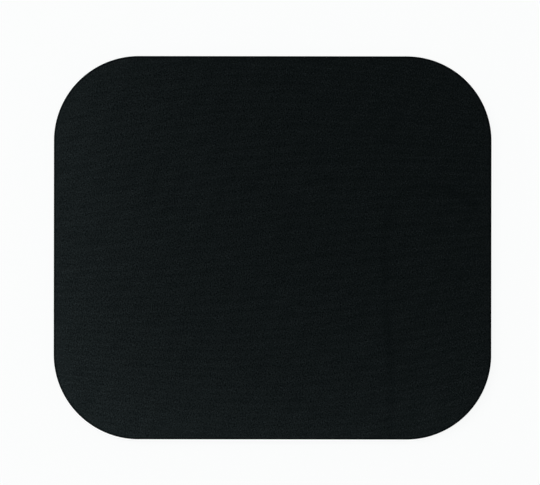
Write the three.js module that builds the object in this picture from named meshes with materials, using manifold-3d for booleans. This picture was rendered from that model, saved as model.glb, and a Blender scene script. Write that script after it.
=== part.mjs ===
// Cloth-faced mouse pad: a jersey knit glued to a sheet of foam rubber, all cut in one stroke of a die.
// Lengths are in millimetres, with +Z up. The origin is the middle of the underside, on the desk.
// +X runs to the user's right, and +Y away from the user.
import * as THREE from 'three';
import { toCreasedNormals } from 'three/addons/utils/BufferGeometryUtils.js';
import Module from 'manifold-3d';

const wasm = await Module();
wasm.setup();

// Outline, the same for every layer because one die cuts them together.
const PAD_WIDTH = 232;
const PAD_DEPTH = 203.2;
const CORNER_RADIUS = 45;
const CORNER_STEPS = 20;

// Layers, from the desk up.
const BASE_THICKNESS = 4.35;
const FILM_THICKNESS = 0.15;
const KNIT_THICKNESS = 0.5;

// Cut edge: foam bulges under the die and springs back hollow, and the knit's rim is pinched down.
const SIDE_HOLLOW = 0.4;
const SIDE_STEPS = 6;
const KNIT_RIM_THICKNESS = 0.2;
const KNIT_ROLL_WIDTH = 0.9;
const KNIT_ROLL_STEPS = 4;

// Grip tread moulded into the underside: wavy ribs, parted by grooves that run out through the cut edge.
const TREAD_PITCH = 4.5;
const GROOVE_MOUTH = 1.9;
const GROOVE_ROOT = 1.2;
const GROOVE_DEPTH = 0.5;
const WAVE_LENGTH = 77;
const WAVE_SWING = 5;
const WAVE_STEPS = 8;
const CUT_OVERRUN = 2;

// Edges sharper than this stay crisp when the part is shaded.
const CREASE_ANGLE = Math.PI / 6;

// Outline drawn in by an inset on every side, as points at one height, counter-clockwise from above.
function outlineRing(inset, z) {
  const right = PAD_WIDTH / 2 - CORNER_RADIUS;
  const back = PAD_DEPTH / 2 - CORNER_RADIUS;
  const radius = CORNER_RADIUS - inset;
  const centres = [[right, back], [-right, back], [-right, -back], [right, -back]];
  return centres.flatMap(([x, y], corner) => {
    const start = corner * Math.PI / 2;
    const arc = new THREE.EllipseCurve(x, y, radius, radius, start, start + Math.PI / 2);
    return arc.getPoints(CORNER_STEPS).map((point) => new THREE.Vector3(point.x, point.y, z));
  });
}

// Closed solid through flat convex rings, each with as many points and running the same way round.
function loft(rings) {
  const count = rings[0].length;
  const lastRing = (rings.length - 1) * count;
  const middleOf = (ring) => {
    const sum = new THREE.Vector3();
    ring.forEach((point) => sum.add(point));
    return sum.divideScalar(count);
  };
  const points = [...rings.flat(), middleOf(rings[0]), middleOf(rings.at(-1))];
  const faces = [];
  for (let i = 0; i < count; i += 1) {
    const next = (i + 1) % count;
    for (let ring = 0; ring < lastRing; ring += count) {
      faces.push(ring + i, ring + next, ring + count + next);
      faces.push(ring + i, ring + count + next, ring + count + i);
    }
    faces.push(points.length - 2, next, i);
    faces.push(points.length - 1, lastRing + i, lastRing + next);
  }
  return new THREE.BufferGeometry().setFromPoints(points).setIndex(faces);
}

function toSolid(geometry) {
  return new wasm.Manifold(new wasm.Mesh({
    numProp: 3,
    vertProperties: geometry.attributes.position.array,
    triVerts: new Uint32Array(geometry.index.array),
  }));
}

function toGeometry(solid) {
  const mesh = solid.getMesh();
  const geometry = new THREE.BufferGeometry();
  geometry.setAttribute('position', new THREE.BufferAttribute(mesh.vertProperties, 3));
  return geometry.setIndex(new THREE.BufferAttribute(mesh.triVerts, 1));
}

// Cutter for one groove: a section that narrows towards its root, carried along the wave.
function grooveCutter(middle) {
  const step = WAVE_LENGTH / WAVE_STEPS;
  const reach = Math.ceil((PAD_WIDTH / 2 + CUT_OVERRUN) / step);
  const slope = (GROOVE_MOUTH - GROOVE_ROOT) / 2 / GROOVE_DEPTH;
  const foot = GROOVE_MOUTH / 2 + slope * CUT_OVERRUN;
  const root = GROOVE_ROOT / 2;
  const rings = [];
  for (let i = -reach; i <= reach; i += 1) {
    const x = i * step;
    const y = middle + WAVE_SWING * Math.cos(2 * Math.PI * i / WAVE_STEPS);
    rings.push([
      new THREE.Vector3(x, y - foot, -CUT_OVERRUN),
      new THREE.Vector3(x, y + foot, -CUT_OVERRUN),
      new THREE.Vector3(x, y + root, GROOVE_DEPTH),
      new THREE.Vector3(x, y - root, GROOVE_DEPTH),
    ]);
  }
  return loft(rings);
}

// Foam rubber sheet, hollow at its cut side, with the tread moulded into its lower skin.
function rubberBase() {
  const rings = [];
  for (let i = 0; i <= SIDE_STEPS; i += 1) {
    const rise = i / SIDE_STEPS;
    rings.push(outlineRing(SIDE_HOLLOW * Math.sin(Math.PI * rise), BASE_THICKNESS * rise));
  }
  let sheet = toSolid(loft(rings));
  const reach = Math.ceil((PAD_DEPTH / 2 + WAVE_SWING) / TREAD_PITCH);
  for (let i = -reach; i < reach; i += 1) {
    const middle = (i + 1 / 2) * TREAD_PITCH;
    sheet = sheet.subtract(toSolid(grooveCutter(middle)));
  }
  return toGeometry(sheet);
}

// Film of hot-melt glue that bonds the knit to the rubber.
function adhesiveFilm() {
  const bottom = BASE_THICKNESS;
  return loft([outlineRing(0, bottom), outlineRing(0, bottom + FILM_THICKNESS)]);
}

// Knit face, flat where the mouse runs and rolled down to the pinched rim.
function knitFace() {
  const bottom = BASE_THICKNESS + FILM_THICKNESS;
  const rim = bottom + KNIT_RIM_THICKNESS;
  const rollHeight = KNIT_THICKNESS - KNIT_RIM_THICKNESS;
  const rings = [outlineRing(0, bottom)];
  for (let i = 0; i <= KNIT_ROLL_STEPS; i += 1) {
    const turn = i / KNIT_ROLL_STEPS * Math.PI / 2;
    rings.push(outlineRing(KNIT_ROLL_WIDTH * (1 - Math.cos(turn)), rim + rollHeight * Math.sin(turn)));
  }
  return loft(rings);
}

function namedMesh(name, geometry, material) {
  const mesh = new THREE.Mesh(toCreasedNormals(geometry, CREASE_ANGLE), material);
  mesh.name = name;
  return mesh;
}

const foamRubber = new THREE.MeshStandardMaterial({ color: 0x121414, roughness: 0.85, metalness: 0 });
const hotMeltGlue = new THREE.MeshStandardMaterial({ color: 0x24282a, roughness: 0.45, metalness: 0 });
const blackJersey = new THREE.MeshStandardMaterial({ color: 0x101415, roughness: 0.95, metalness: 0 });

const mousePad = new THREE.Group();
mousePad.add(namedMesh('rubber_base', rubberBase(), foamRubber));
mousePad.add(namedMesh('adhesive_film', adhesiveFilm(), hotMeltGlue));
mousePad.add(namedMesh('knit_face', knitFace(), blackJersey));

export default mousePad;
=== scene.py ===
import math

import bmesh
import bpy
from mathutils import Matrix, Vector, noise


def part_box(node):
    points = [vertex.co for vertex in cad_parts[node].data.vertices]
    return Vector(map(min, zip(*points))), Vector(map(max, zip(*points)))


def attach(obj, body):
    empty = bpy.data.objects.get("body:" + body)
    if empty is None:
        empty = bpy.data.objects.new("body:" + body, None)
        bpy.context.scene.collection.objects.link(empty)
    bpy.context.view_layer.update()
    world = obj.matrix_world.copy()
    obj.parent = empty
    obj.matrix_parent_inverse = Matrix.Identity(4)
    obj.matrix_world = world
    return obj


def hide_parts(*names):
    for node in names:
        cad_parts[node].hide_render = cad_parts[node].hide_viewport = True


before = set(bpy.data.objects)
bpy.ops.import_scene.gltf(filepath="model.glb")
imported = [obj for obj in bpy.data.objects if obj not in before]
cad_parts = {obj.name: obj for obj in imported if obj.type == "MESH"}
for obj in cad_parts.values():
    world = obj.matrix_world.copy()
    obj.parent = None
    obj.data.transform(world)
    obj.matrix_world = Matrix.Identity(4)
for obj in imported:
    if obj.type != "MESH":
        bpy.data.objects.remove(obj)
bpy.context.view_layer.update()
bpy.ops.object.select_all(action="DESELECT")


# Rubber base.
# A sheet of black foam rubber, about 4 mm thick, whose moulded skin has a wavy grip tread underneath.
# A die cuts it to shape with the cloth already on it, which opens its cells all round the side.
MM = 0.001
_, BASE_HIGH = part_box("rubber_base")
HALF_WIDTH = BASE_HIGH.x
HALF_DEPTH = BASE_HIGH.y
CORNER_RADIUS = 45 * MM
SIDE_CUTS = 95
SIDE_ROWS = 10
SIDE_HOLLOW = 0.4 * MM
CUT_WANDER = 0.06 * MM
CUT_WANDER_LENGTH = 1.8 * MM
CUT_OVERRUN = 1 * MM
TREAD_PITCH = 4.5 * MM
WAVE_LENGTH = 77 * MM
WAVE_SWING = 5 * MM
COLUMN_WIDTH = 3 * MM
GROOVE_DEPTH = 0.5 * MM
# Across one pitch, from the middle of a groove: shares of the pitch and of the groove's depth.
GROOVE_AND_RIB_SHARES = [
    (0.000, 1.00), (0.111, 1.00), (0.142, 0.88), (0.187, 0.24), (0.222, 0.00),
    (0.500, 0.00), (0.778, 0.00), (0.813, 0.24), (0.858, 0.88), (0.889, 1.00),
]
FOAM_BLACK = "#17191a"
FOAM_CELL = 0.28 * MM
FOAM_RELIEF = 0.12 * MM
FOAM_ROUGHNESS = 0.85
SKIN_BLACK = "#141617"
SKIN_GRAIN = 0.9 * MM
SKIN_RELIEF = 0.03 * MM
SKIN_ROUGHNESS = 0.6
SKIN_TILT = -0.2
SKIN_TOP = GROOVE_DEPTH * 1.1
FINENESS = 2.7
FINE_GRAIN_SHARE = 0.6
WALL_FOOT = 0.1
WALL_CREST = 0.7
PIT_SHADE_SHARES = (0.3, 1.2)
CLOUDS_PER_GRAIN = 0.12
CLOUD_TONE_SHARES = (0.8, 1.2)
DULLING = 0.2
RUBBER_SMOOTH_ANGLE = math.radians(35)


def centre_for(point):
    """The point one corner radius inside the outline that an outline point near this one is square to."""
    reach_x = HALF_WIDTH - CORNER_RADIUS
    reach_y = HALF_DEPTH - CORNER_RADIUS
    return Vector((max(-reach_x, min(reach_x, point.x)), max(-reach_y, min(reach_y, point.y))))


def die_cut_sheet(name, side, wander=0.0):
    """A sheet with the pad's outline. Its side is (height, inset) pairs from the bottom up."""
    bpy.ops.mesh.primitive_plane_add(size=2, location=(0, 0, side[0][0]))
    sheet = bpy.context.object
    sheet.name = sheet.data.name = name
    sheet.scale = (HALF_WIDTH, HALF_DEPTH, 1)
    bpy.ops.object.transform_apply(location=True, rotation=True, scale=True)
    bpy.ops.object.mode_set(mode="EDIT")
    bpy.ops.mesh.select_mode(type="EDGE")
    bpy.ops.mesh.select_all(action="SELECT")
    bpy.ops.mesh.bevel(affect="VERTICES", offset=CORNER_RADIUS, segments=SIDE_CUTS + 1)
    # Only the four straight sides are longer than the corner radius. They get as many cuts as a corner.
    for edge in bmesh.from_edit_mesh(sheet.data).edges:
        edge.select_set(edge.calc_length() > CORNER_RADIUS)
    bpy.ops.mesh.subdivide(number_cuts=SIDE_CUTS)
    bpy.ops.mesh.select_all(action="SELECT")
    for row, (height, inset) in enumerate(side):
        if row > 0:
            bpy.ops.mesh.extrude_region_move()
        for vertex in bmesh.from_edit_mesh(sheet.data).verts:
            if vertex.select:
                vertex.co.z = height
                unevenness = wander * noise.noise(vertex.co / CUT_WANDER_LENGTH)
                centre = centre_for(vertex.co)
                outward = (vertex.co.xy - centre).normalized()
                vertex.co.xy = centre + outward * (CORNER_RADIUS - inset - unevenness)
    bpy.ops.mesh.select_all(action="SELECT")
    bpy.ops.mesh.normals_make_consistent(inside=False)
    bpy.ops.object.mode_set(mode="OBJECT")
    return sheet


def tread_block():
    """A block of foam wider than the pad, with the tread's waves moulded into its underside."""
    columns = math.ceil((HALF_WIDTH + CUT_OVERRUN) / COLUMN_WIDTH)
    pitches = math.ceil((HALF_DEPTH + CUT_OVERRUN + WAVE_SWING) / TREAD_PITCH)
    rows = pitches * len(GROOVE_AND_RIB_SHARES)
    bpy.ops.mesh.primitive_grid_add(x_subdivisions=2 * columns, y_subdivisions=2 * rows, size=2)
    block = bpy.context.object
    for vertex in block.data.vertices:
        x = vertex.co.x * columns * COLUMN_WIDTH
        pitch, place = divmod(round(vertex.co.y * rows), len(GROOVE_AND_RIB_SHARES))
        across, height = GROOVE_AND_RIB_SHARES[place]
        y = (pitch + 0.5 + across) * TREAD_PITCH + WAVE_SWING * math.cos(2 * math.pi * x / WAVE_LENGTH)
        vertex.co = (x, y, height * GROOVE_DEPTH)
    bpy.ops.object.mode_set(mode="EDIT")
    bpy.ops.mesh.select_all(action="SELECT")
    bpy.ops.mesh.extrude_region_move()
    for vertex in bmesh.from_edit_mesh(block.data).verts:
        if vertex.select:
            vertex.co.z = BASE_HIGH.z + CUT_OVERRUN
    bpy.ops.mesh.select_all(action="SELECT")
    bpy.ops.mesh.normals_make_consistent(inside=False)
    bpy.ops.object.mode_set(mode="OBJECT")
    return block


def to_linear(hex_colour):
    """An sRGB hex colour as linear red, green, blue and alpha."""
    shares = [int(hex_colour[i:i + 2], 16) / 255 for i in (1, 3, 5)]
    return [s / 12.92 if s <= 0.04045 else ((s + 0.055) / 1.055) ** 2.4 for s in shares] + [1]


def add_node(tree, kind, inputs=None, **settings):
    """A node with its settings. An input is given a value, or the socket that is linked to it."""
    node = tree.nodes.new(kind)
    for name, value in settings.items():
        setattr(node, name, value)
    for key, value in (inputs or {}).items():
        if isinstance(value, bpy.types.NodeSocket):
            tree.links.new(value, node.inputs[key])
        else:
            node.inputs[key].default_value = value
    return node


def new_material(name):
    """An empty material, its node tree and its output node."""
    material = bpy.data.materials.new(name)
    material.use_nodes = True
    material.node_tree.nodes.clear()
    return material, material.node_tree, add_node(material.node_tree, "ShaderNodeOutputMaterial")


def foam_rubber(name, colour, grain, depth, roughness):
    """Sponge rubber: matt carbon black, pitted with cells on a cut and finely grained on a skin."""
    material, tree, output = new_material(name)
    place = add_node(tree, "ShaderNodeTexCoord").outputs["Object"]
    # Each grain is a pit whose walls rise outwards, and finer ones lie among the main ones.
    relief = None
    for size, height_share in ((grain, 1.0), (grain / FINENESS, FINE_GRAIN_SHARE)):
        cells = add_node(tree, "ShaderNodeTexVoronoi", {"Vector": place, "Scale": 1 / size})
        walls = add_node(tree, "ShaderNodeMapRange", {
            "Value": cells.outputs["Distance"], "From Min": WALL_FOOT, "From Max": WALL_CREST,
            "To Max": height_share,
        })
        relief = walls.outputs["Result"] if relief is None else add_node(tree, "ShaderNodeMath", {
            0: relief, 1: walls.outputs["Result"]}, operation="ADD").outputs["Value"]
    clouds = add_node(tree, "ShaderNodeTexNoise", {
        "Vector": place, "Scale": CLOUDS_PER_GRAIN / grain, "Detail": 3.0}).outputs["Fac"]
    # The pits are painted darker than their walls, as painted shade in the hollows. The clouds are a random
    # tone.
    tone = to_linear(colour)
    for pattern, tone_shares in ((relief, PIT_SHADE_SHARES), (clouds, CLOUD_TONE_SHARES)):
        share = add_node(tree, "ShaderNodeMapRange", {
            "Value": pattern, "To Min": tone_shares[0], "To Max": tone_shares[1]})
        tone = add_node(tree, "ShaderNodeMix", {
            "Factor": 1.0, "A": tone, "B": share.outputs["Result"],
        }, data_type="RGBA", blend_type="MULTIPLY").outputs["Result"]
    dulled = add_node(tree, "ShaderNodeMapRange", {
        "Value": clouds, "To Min": roughness - DULLING / 2, "To Max": roughness + DULLING / 2})
    bump = add_node(tree, "ShaderNodeBump", {"Height": relief, "Strength": 1.0, "Distance": depth})
    rubber = add_node(tree, "ShaderNodeBsdfPrincipled", {
        "Base Color": tone, "Roughness": dulled.outputs["Result"], "IOR": 1.5,
        "Specular IOR Level": 0.25, "Normal": bump.outputs["Normal"],
    })
    tree.links.new(rubber.outputs["BSDF"], output.inputs["Surface"])
    return material


side_below = [(-CUT_OVERRUN, 0.0)]
side_above = []
for row in range(SIDE_ROWS + 1):
    rise = row / SIDE_ROWS
    side_above.append((BASE_HIGH.z * rise, SIDE_HOLLOW * math.sin(math.pi * rise)))
rubber_base = die_cut_sheet("rubber_base_foam", side_below + side_above, CUT_WANDER)
block = tread_block()
cut = rubber_base.modifiers.new("cut from the block", "BOOLEAN")
cut.operation = "INTERSECT"
cut.solver = "EXACT"
cut.object = block
bpy.context.view_layer.objects.active = rubber_base
bpy.ops.object.modifier_apply(modifier=cut.name)
bpy.data.objects.remove(block)
rubber_base.data.materials.clear()
rubber_base.data.materials.append(
    foam_rubber("cut foam rubber", FOAM_BLACK, FOAM_CELL, FOAM_RELIEF, FOAM_ROUGHNESS))
rubber_base.data.materials.append(
    foam_rubber("moulded rubber skin", SKIN_BLACK, SKIN_GRAIN, SKIN_RELIEF, SKIN_ROUGHNESS))
# The tread faces down and keeps its moulded skin. All the rest is cut.
for face in rubber_base.data.polygons:
    face.material_index = 1 if face.normal.z < SKIN_TILT and face.center.z < SKIN_TOP else 0
bpy.ops.object.shade_smooth_by_angle(angle=RUBBER_SMOOTH_ANGLE)
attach(rubber_base, "root")
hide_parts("rubber_base")


# Adhesive film.
# A clear hot-melt film, melted between cloth and rubber by hot rollers until it soaks into both.
# The die squeezes a fine dark bead of it out of the cut, under the cloth's rim.
FILM_LOW, FILM_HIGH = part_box("adhesive_film")
BEAD_SWELL = 0.03 * MM
BEAD_LENGTH = 1.5 * MM
BEAD_BUMP_STRENGTH = 0.4
THIN_BEAD_ROUGHNESS = 0.55
FULL_BEAD_ROUGHNESS = 0.25
GLUE_BLACK = "#2a2e30"


def hot_melt_glue():
    """Ethylene copolymer glue: smooth and faintly glossy, dark from the dyed cloth and rubber it wets."""
    material, tree, output = new_material("hot-melt glue")
    place = add_node(tree, "ShaderNodeTexCoord").outputs["Object"]
    beads = add_node(tree, "ShaderNodeTexNoise", {
        "Vector": place, "Scale": 1 / BEAD_LENGTH, "Detail": 2.0}).outputs["Fac"]
    bump = add_node(tree, "ShaderNodeBump", {
        "Height": beads, "Strength": BEAD_BUMP_STRENGTH, "Distance": BEAD_SWELL})
    # Where the bead pulled thin as it was cut it is duller.
    roughness = add_node(tree, "ShaderNodeMapRange", {
        "Value": beads, "To Min": THIN_BEAD_ROUGHNESS, "To Max": FULL_BEAD_ROUGHNESS})
    glue = add_node(tree, "ShaderNodeBsdfPrincipled", {
        "Base Color": to_linear(GLUE_BLACK), "Roughness": roughness.outputs["Result"], "IOR": 1.49,
        "Normal": bump.outputs["Normal"],
    })
    tree.links.new(glue.outputs["BSDF"], output.inputs["Surface"])
    return material


film_middle = (FILM_LOW.z + FILM_HIGH.z) / 2
film_side = [(FILM_LOW.z, 0.0), (film_middle, -BEAD_SWELL), (FILM_HIGH.z, 0.0)]
adhesive_film = die_cut_sheet("adhesive_film_bead", film_side, CUT_WANDER)
adhesive_film.data.materials.append(hot_melt_glue())
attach(adhesive_film, "root")
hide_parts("adhesive_film")


# Knit face.
# A fine single jersey of black polyester yarn, laminated flat on the rubber with its rows slightly askew.
# The die pinches and seals its rim, which rolls over at the cut. Use left one raised crease and a smudge.
KNIT_LOW, KNIT_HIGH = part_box("knit_face")
RIM_THICKNESS = 0.2 * MM
ROLL_WIDTH = 0.9 * MM
ROLL_STEPS = 8
SEAL_WIDTH = 1.25 * MM
SEAL_FADE = 0.4 * MM
FLATNESS = 0.05 * MM
FLATNESS_LENGTH = 30 * MM
# From the front edge to the right edge: places in millimetres and shares of the full crease.
CREASE_ROUTE_AND_SHARES = [
    (61.8, -101.6, 0.5), (63.2, -71, 0.6), (62.0, -50, 1.0), (60.0, -27, 0.7),
    (59.2, -6, 0.9), (60.5, 12, 0.5), (64.0, 26, 0.5), (71.5, 32, 0.6),
    (82.0, 34, 0.6), (94.0, 31, 0.7), (106.5, 23, 0.7), (113.0, 17, 0.0),
]
CREASE_WIDTH = 1.9 * MM
CREASE_RISE = 0.12 * MM
# The crease's line is painted darker by this share, as painted shade along its raised ridge.
CREASE_PAINTED_SHADE = 0.43
SMUDGE = Vector((-74.0, 41.0)) * MM
SMUDGE_SIZE = Vector((8.0, 5.0)) * MM
SMUDGE_PRESS = 0.12
BAND_HEIGHT = 5.95 * MM
BAND_SLOPE = 0.137
BAND_CROWDING = 236 * MM
BAND_LEVELLING = 86 * MM
BAND_WANDER = 1.7
STREAK_SIZE = (18 * MM, 5 * MM)
SLANT_WIDTH = 12.7 * MM
SLANT_LEAN = math.radians(30)
SLANT_DISTORTION = 3.0
WALE_WIDTH = 0.7 * MM
COURSE_HEIGHT = 0.5 * MM
YARN_RELIEF = 0.1 * MM
YARN_BUMP_STRENGTH = 0.6
FLECK_SIZE = 1.05 * MM
KNIT_ROUGHNESS = 0.7
PRESSED_ROUGHNESS = 0.5
YARN_SHADE = "#010405"
YARN_LIGHT = "#282e2f"
SHADE_TONE = 0.15
LIGHT_TONE = 3.58
SHEEN_COLOUR = "#daf9ff"
GLOSS_COLOUR = "#ecf9f6"
# Shares of the full tone where each pattern is at its least and at its most.
# The relief's shares paint the stitches' gaps darker and raised yarns lighter: painted shade and light.
RELIEF_SHADE_SHARES = (0.72, 1.5)
YARN_SHARES = (0.7, 1.3)
FLECK_SHARES = (-1.5, 3.5)
BAND_SHARES = (0.88, 1.12)
STREAK_SHARES = (0.83, 1.17)
SLANT_SHARES = (0.955, 1.045)
SHADE_AND_SMUDGE_SHARES = (1.0, 0.15)
CLOTH_SMOOTH_ANGLE = math.radians(40)


def black_jersey():
    """Polyester jersey: matt black, painted light on raised yarns, painted shade in gaps, faint cool sheen.
    """
    material, tree, output = new_material("black polyester jersey")
    on_cloth = add_node(tree, "ShaderNodeUVMap", uv_map="on_cloth").outputs["UV"]
    split = add_node(tree, "ShaderNodeSeparateXYZ", {"Vector": on_cloth})
    # A stitch shows two legs that lean together, so its row bends once in every wale.
    from_wale = add_node(tree, "ShaderNodeMath", {
        0: split.outputs["X"], 1: WALE_WIDTH / 2}, operation="PINGPONG")
    row = add_node(tree, "ShaderNodeMath", {
        0: from_wale.outputs["Value"], 1: -2 * COURSE_HEIGHT / WALE_WIDTH, 2: split.outputs["Y"],
    }, operation="MULTIPLY_ADD")
    on_leg = add_node(tree, "ShaderNodeCombineXYZ", {
        "X": split.outputs["X"], "Y": row.outputs["Value"]}).outputs["Vector"]
    # At scale 1 the bands of a wave texture are a tenth of pi apart.
    waves = []
    for direction, pitch in (("X", WALE_WIDTH / 2), ("Y", COURSE_HEIGHT)):
        waves.append(add_node(tree, "ShaderNodeTexWave", {
            "Vector": on_leg, "Scale": math.pi / (10 * pitch)}, bands_direction=direction).outputs["Fac"])
    relief = add_node(tree, "ShaderNodeMath", {
        0: waves[0], 1: waves[1]}, operation="MULTIPLY").outputs["Value"]
    leg = add_node(tree, "ShaderNodeVectorMath", {
        0: on_leg, 1: (WALE_WIDTH / 2, COURSE_HEIGHT, 1)}, operation="SNAP").outputs["Vector"]
    yarn = add_node(tree, "ShaderNodeTexWhiteNoise", {"Vector": leg}, noise_dimensions="2D").outputs["Value"]
    # Glints and gaps among fibres are too fine to show, so whole legs are drawn lighter or darker instead.
    flecks = add_node(tree, "ShaderNodeTexGabor", {
        "Vector": leg, "Scale": 1 / FLECK_SIZE, "Frequency": 1.0, "Anisotropy": 0.0,
    }, gabor_type="2D").outputs["Value"]
    streak_place = add_node(tree, "ShaderNodeMapping", {
        "Vector": on_cloth, "Scale": (1 / STREAK_SIZE[0], 1 / STREAK_SIZE[1], 1)})
    streaks = add_node(tree, "ShaderNodeTexNoise", {
        "Vector": streak_place.outputs["Vector"], "Scale": 1.0, "Detail": 3.0,
    }, noise_dimensions="2D").outputs["Fac"]
    half_bands = add_node(tree, "ShaderNodeAttribute", attribute_name="half_bands").outputs["Fac"]
    wandering = add_node(tree, "ShaderNodeMath", {
        0: streaks, 1: BAND_WANDER, 2: half_bands}, operation="MULTIPLY_ADD")
    bands = add_node(tree, "ShaderNodeMath", {
        0: wandering.outputs["Value"], 1: 1.0}, operation="PINGPONG").outputs["Value"]
    leaning = add_node(tree, "ShaderNodeMapping", {"Vector": on_cloth, "Rotation": (0, 0, SLANT_LEAN)})
    slants = add_node(tree, "ShaderNodeTexWave", {
        "Vector": leaning.outputs["Vector"], "Scale": math.pi / (10 * SLANT_WIDTH),
        "Distortion": SLANT_DISTORTION, "Detail": 1.0, "Detail Scale": 1.0,
    }, bands_direction="X").outputs["Fac"]
    # This attribute darkens the tone as painted shade on the rim and in the crease, and at the smudge.
    pressed_and_painted_shade = add_node(tree, "ShaderNodeAttribute", attribute_name="pressed_and_painted_shade").outputs["Fac"]
    tone = 1.0
    for pattern, tone_shares in (
        (relief, RELIEF_SHADE_SHARES), (yarn, YARN_SHARES), (flecks, FLECK_SHARES), (bands, BAND_SHARES),
        (streaks, STREAK_SHARES), (slants, SLANT_SHARES), (pressed_and_painted_shade, SHADE_AND_SMUDGE_SHARES),
    ):
        share = add_node(tree, "ShaderNodeMapRange", {
            "Value": pattern, "To Min": tone_shares[0], "To Max": tone_shares[1]})
        tone = add_node(tree, "ShaderNodeMath", {
            0: tone, 1: share.outputs["Result"]}, operation="MULTIPLY").outputs["Value"]
    lightness = add_node(tree, "ShaderNodeMapRange", {
        "Value": tone, "From Min": SHADE_TONE, "From Max": LIGHT_TONE})
    colour = add_node(tree, "ShaderNodeMix", {
        "Factor": lightness.outputs["Result"], "A": to_linear(YARN_SHADE), "B": to_linear(YARN_LIGHT),
    }, data_type="RGBA").outputs["Result"]
    # Pressed fibres lie flatter and so are smoother.
    roughness = add_node(tree, "ShaderNodeMapRange", {
        "Value": pressed_and_painted_shade, "To Min": KNIT_ROUGHNESS, "To Max": PRESSED_ROUGHNESS})
    bump = add_node(tree, "ShaderNodeBump", {
        "Height": relief, "Strength": YARN_BUMP_STRENGTH, "Distance": YARN_RELIEF})
    cloth = add_node(tree, "ShaderNodeBsdfPrincipled", {
        "Base Color": colour, "Roughness": roughness.outputs["Result"], "IOR": 1.5,
        "Specular IOR Level": 0.025, "Specular Tint": to_linear(GLOSS_COLOUR),
        "Sheen Weight": 0.02, "Sheen Roughness": 0.4, "Sheen Tint": to_linear(SHEEN_COLOUR),
        "Normal": bump.outputs["Normal"],
    })
    tree.links.new(cloth.outputs["BSDF"], output.inputs["Surface"])
    return material


def crease_at(point):
    """How strong the crease is at a point, from nought beside it to one where it is sharpest."""
    strongest = 0.0
    for (*start, start_share), (*end, end_share) in zip(CREASE_ROUTE_AND_SHARES, CREASE_ROUTE_AND_SHARES[1:]):
        start, end = Vector(start) * MM, Vector(end) * MM
        along = max(0.0, min(1.0, (point - start).dot(end - start) / (end - start).length_squared))
        aside = (point - start.lerp(end, along)).length
        share = start_share + (end_share - start_share) * along
        strongest = max(strongest, share * math.exp(-((aside / CREASE_WIDTH) ** 2)))
    return strongest


def bands_at(point):
    """How many of the knit's faint bands lie between the pad's middle and a point. They crowd outwards."""
    crowding = 1 + point.length_squared / BAND_CROWDING ** 2
    slope = BAND_SLOPE * (1 - (point.y / BAND_LEVELLING) ** 2)
    return (point.y * crowding - point.x * slope) / BAND_HEIGHT


rim_height = KNIT_LOW.z + RIM_THICKNESS
cloth_side = [(KNIT_LOW.z, 0.0)]
for step in range(ROLL_STEPS + 1):
    turn = math.pi / 2 * step / ROLL_STEPS
    height = rim_height + (KNIT_HIGH.z - rim_height) * math.sin(turn)
    cloth_side.append((height, ROLL_WIDTH * (1 - math.cos(turn))))
cloth_side.append((KNIT_HIGH.z, SEAL_WIDTH))
knit_face = die_cut_sheet("knit_face_cloth", cloth_side)
# The flat top is opened and filled with a grid, whose own corners are halfway round the pad's corners.
bpy.ops.object.mode_set(mode="EDIT")
bpy.ops.mesh.select_mode(type="FACE")
bpy.ops.mesh.select_all(action="DESELECT")
for face in bmesh.from_edit_mesh(knit_face.data).faces:
    face.select_set(len(face.verts) > 4 and face.normal.z > 0)
bpy.ops.mesh.delete(type="ONLY_FACE")
bpy.ops.mesh.select_mode(type="VERT")
bpy.ops.mesh.select_non_manifold()
opened = bmesh.from_edit_mesh(knit_face.data)
opening = [vertex for vertex in opened.verts if vertex.select]
opened.select_history.add(max(opening, key=lambda vertex: sum(vertex.co)))
bpy.ops.mesh.fill_grid(span=2 * (SIDE_CUTS + 1))
bpy.ops.object.mode_set(mode="OBJECT")
pressed_and_painted_shade = knit_face.data.attributes.new("pressed_and_painted_shade", "FLOAT", "POINT")
half_bands = knit_face.data.attributes.new("half_bands", "FLOAT", "POINT")
for vertex in knit_face.data.vertices:
    from_edge = CORNER_RADIUS - (vertex.co.xy - centre_for(vertex.co)).length
    # The rim's sealed band is painted darker, as painted shade on the rolled edge, and made smoother.
    sealed_rim_shade = max(0.0, min(1.0, (SEAL_WIDTH - from_edge) / SEAL_FADE))
    crease = crease_at(vertex.co.xy)
    from_smudge = vertex.co.xy - SMUDGE
    smudge = math.exp(-((from_smudge.x / SMUDGE_SIZE.x) ** 2 + (from_smudge.y / SMUDGE_SIZE.y) ** 2))
    pressed_and_painted_shade.data[vertex.index].value = max(sealed_rim_shade, CREASE_PAINTED_SHADE * crease, SMUDGE_PRESS * smudge)
    half_bands.data[vertex.index].value = 2 * bands_at(vertex.co.xy)
    if from_edge > SEAL_WIDTH:
        vertex.co.z += FLATNESS * noise.noise(vertex.co / FLATNESS_LENGTH) + CREASE_RISE * crease
courses = knit_face.data.uv_layers.new(name="on_cloth")
for corner in knit_face.data.loops:
    place = knit_face.data.vertices[corner.vertex_index].co
    courses.data[corner.index].uv = (place.x, place.y - BAND_SLOPE * place.x)
knit_face.data.materials.append(black_jersey())
bpy.ops.object.shade_smooth_by_angle(angle=CLOTH_SMOOTH_ANGLE)
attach(knit_face, "root")
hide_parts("knit_face")


# Table top under the pad, and the white that surrounds it.
# It is a wide pale disc. Seen directly it is near white, and it keeps a soft shadow beside the pad.
TABLE_RADIUS = 4.0
TABLE_SIDES = 96
TABLE_WHITE = "#fcfdfd"
SHADOW_SHARE = 0.12
TABLE_LIGHT = 0.55
GLOW = (1 - SHADOW_SHARE * TABLE_LIGHT) / (1 - SHADOW_SHARE)


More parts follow.
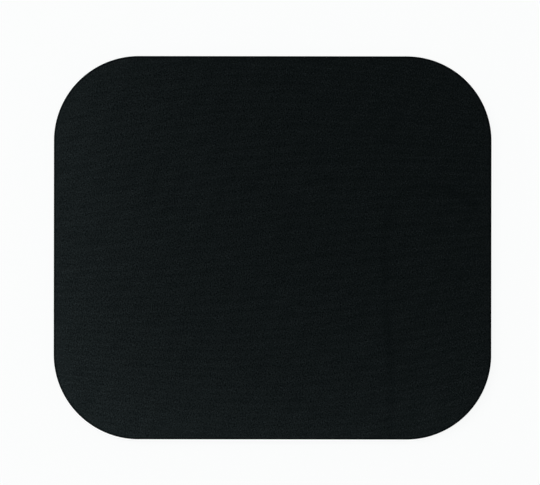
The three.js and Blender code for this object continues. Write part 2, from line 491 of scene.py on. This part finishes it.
def seen_directly(tree):
    """One for a ray from the camera, off a glossy surface or through a clear one, and nought for others."""
    path = add_node(tree, "ShaderNodeLightPath")
    rays = add_node(tree, "ShaderNodeMath", {
        0: path.outputs["Is Camera Ray"], 1: path.outputs["Is Glossy Ray"]}, operation="MAXIMUM")
    return add_node(tree, "ShaderNodeMath", {
        0: rays.outputs["Value"], 1: path.outputs["Is Transmission Ray"],
    }, operation="MAXIMUM").outputs["Value"]


bpy.ops.mesh.primitive_circle_add(
    vertices=TABLE_SIDES, radius=TABLE_RADIUS, fill_type="NGON", location=(0, 0, 0))
table = bpy.context.object
table.name = "table"
material, tree, output = new_material("matt white laminate")
matt = add_node(tree, "ShaderNodeBsdfDiffuse", {"Color": to_linear(TABLE_WHITE)})
white = add_node(tree, "ShaderNodeEmission", {"Color": to_linear(TABLE_WHITE), "Strength": GLOW})
share = add_node(tree, "ShaderNodeMath", {0: seen_directly(tree), 1: 1 - SHADOW_SHARE}, operation="MULTIPLY")
surface = add_node(tree, "ShaderNodeMixShader", {
    0: share.outputs["Value"], 1: matt.outputs["BSDF"], 2: white.outputs["Emission"]})
tree.links.new(surface.outputs["Shader"], output.inputs["Surface"])
table.data.materials.append(material)


# Studio light: a soft fill from all round, a large softbox behind on the left, and two long low strips.
# The strips stand along the pad's left and front edges, light nothing but the pad, and fade out across it.
FILL = 0.31
KEY_PLACE = (-1.5, 1.0, 2.0)
KEY_SIZE = (1.4, 1.4)
KEY_POWER = 21.0
STRIP_SIZE = (0.4, 0.03)
LEFT_STRIP_PLACE = (-0.165, -0.005, 0.055)
LEFT_STRIP_POWER = 0.255
FRONT_STRIP_PLACE = (-0.015, -0.16, 0.05)
FRONT_STRIP_POWER = 0.175
world = bpy.data.worlds.new("studio")
bpy.context.scene.world = world
world.use_nodes = True
tree = world.node_tree
tree.nodes.clear()
fill = add_node(tree, "ShaderNodeBackground", {"Color": (1, 1, 1, 1), "Strength": FILL})
backdrop = add_node(tree, "ShaderNodeBackground", {"Color": to_linear(TABLE_WHITE), "Strength": 1.0})
either = add_node(tree, "ShaderNodeMixShader", {
    0: seen_directly(tree), 1: fill.outputs["Background"], 2: backdrop.outputs["Background"]})
add_node(tree, "ShaderNodeOutputWorld", {"Surface": either.outputs["Shader"]})


def softbox(name, place, size, power):
    """A rectangular softbox at a place, aimed at the middle of the pad."""
    bpy.ops.object.light_add(type="AREA", location=place)
    lamp = bpy.context.object
    lamp.name = name
    lamp.data.shape = "RECTANGLE"
    lamp.data.size, lamp.data.size_y = size
    lamp.data.energy = power
    lamp.rotation_euler = Vector(place).to_track_quat("Z", "Y").to_euler()
    return lamp


softbox("key softbox", KEY_PLACE, KEY_SIZE, KEY_POWER)
pad_only = bpy.data.collections.new("lit by the strips")
for piece in (rubber_base, adhesive_film, knit_face):
    pad_only.objects.link(piece)
left_strip = softbox("left strip", LEFT_STRIP_PLACE, STRIP_SIZE, LEFT_STRIP_POWER)
front_strip = softbox("front strip", FRONT_STRIP_PLACE, STRIP_SIZE, FRONT_STRIP_POWER)
for strip in (left_strip, front_strip):
    strip.light_linking.receiver_collection = pad_only


# Camera, straight above with a long lens, framed as the photograph is.
FRAME_PIXELS = (540, 485)
PAD_CENTRE_PIXEL = (272.6, 247.8)
PAD_WIDTH_PIXELS = 437.6
PAD_TURN = math.radians(0.07)
LENS = 85
camera_data = bpy.data.cameras.new("overhead")
camera = bpy.data.objects.new("overhead", camera_data)
bpy.context.scene.collection.objects.link(camera)
bpy.context.scene.camera = camera
pixel = 2 * HALF_WIDTH / PAD_WIDTH_PIXELS
frame_width = FRAME_PIXELS[0] * pixel
camera_data.lens = LENS
camera.location = (
    (FRAME_PIXELS[0] / 2 - PAD_CENTRE_PIXEL[0]) * pixel,
    (PAD_CENTRE_PIXEL[1] - FRAME_PIXELS[1] / 2) * pixel,
    rim_height + LENS * frame_width / camera_data.sensor_width,
)
camera.rotation_euler = (0, 0, PAD_TURN)
bpy.context.scene.view_settings.view_transform = "Standard"
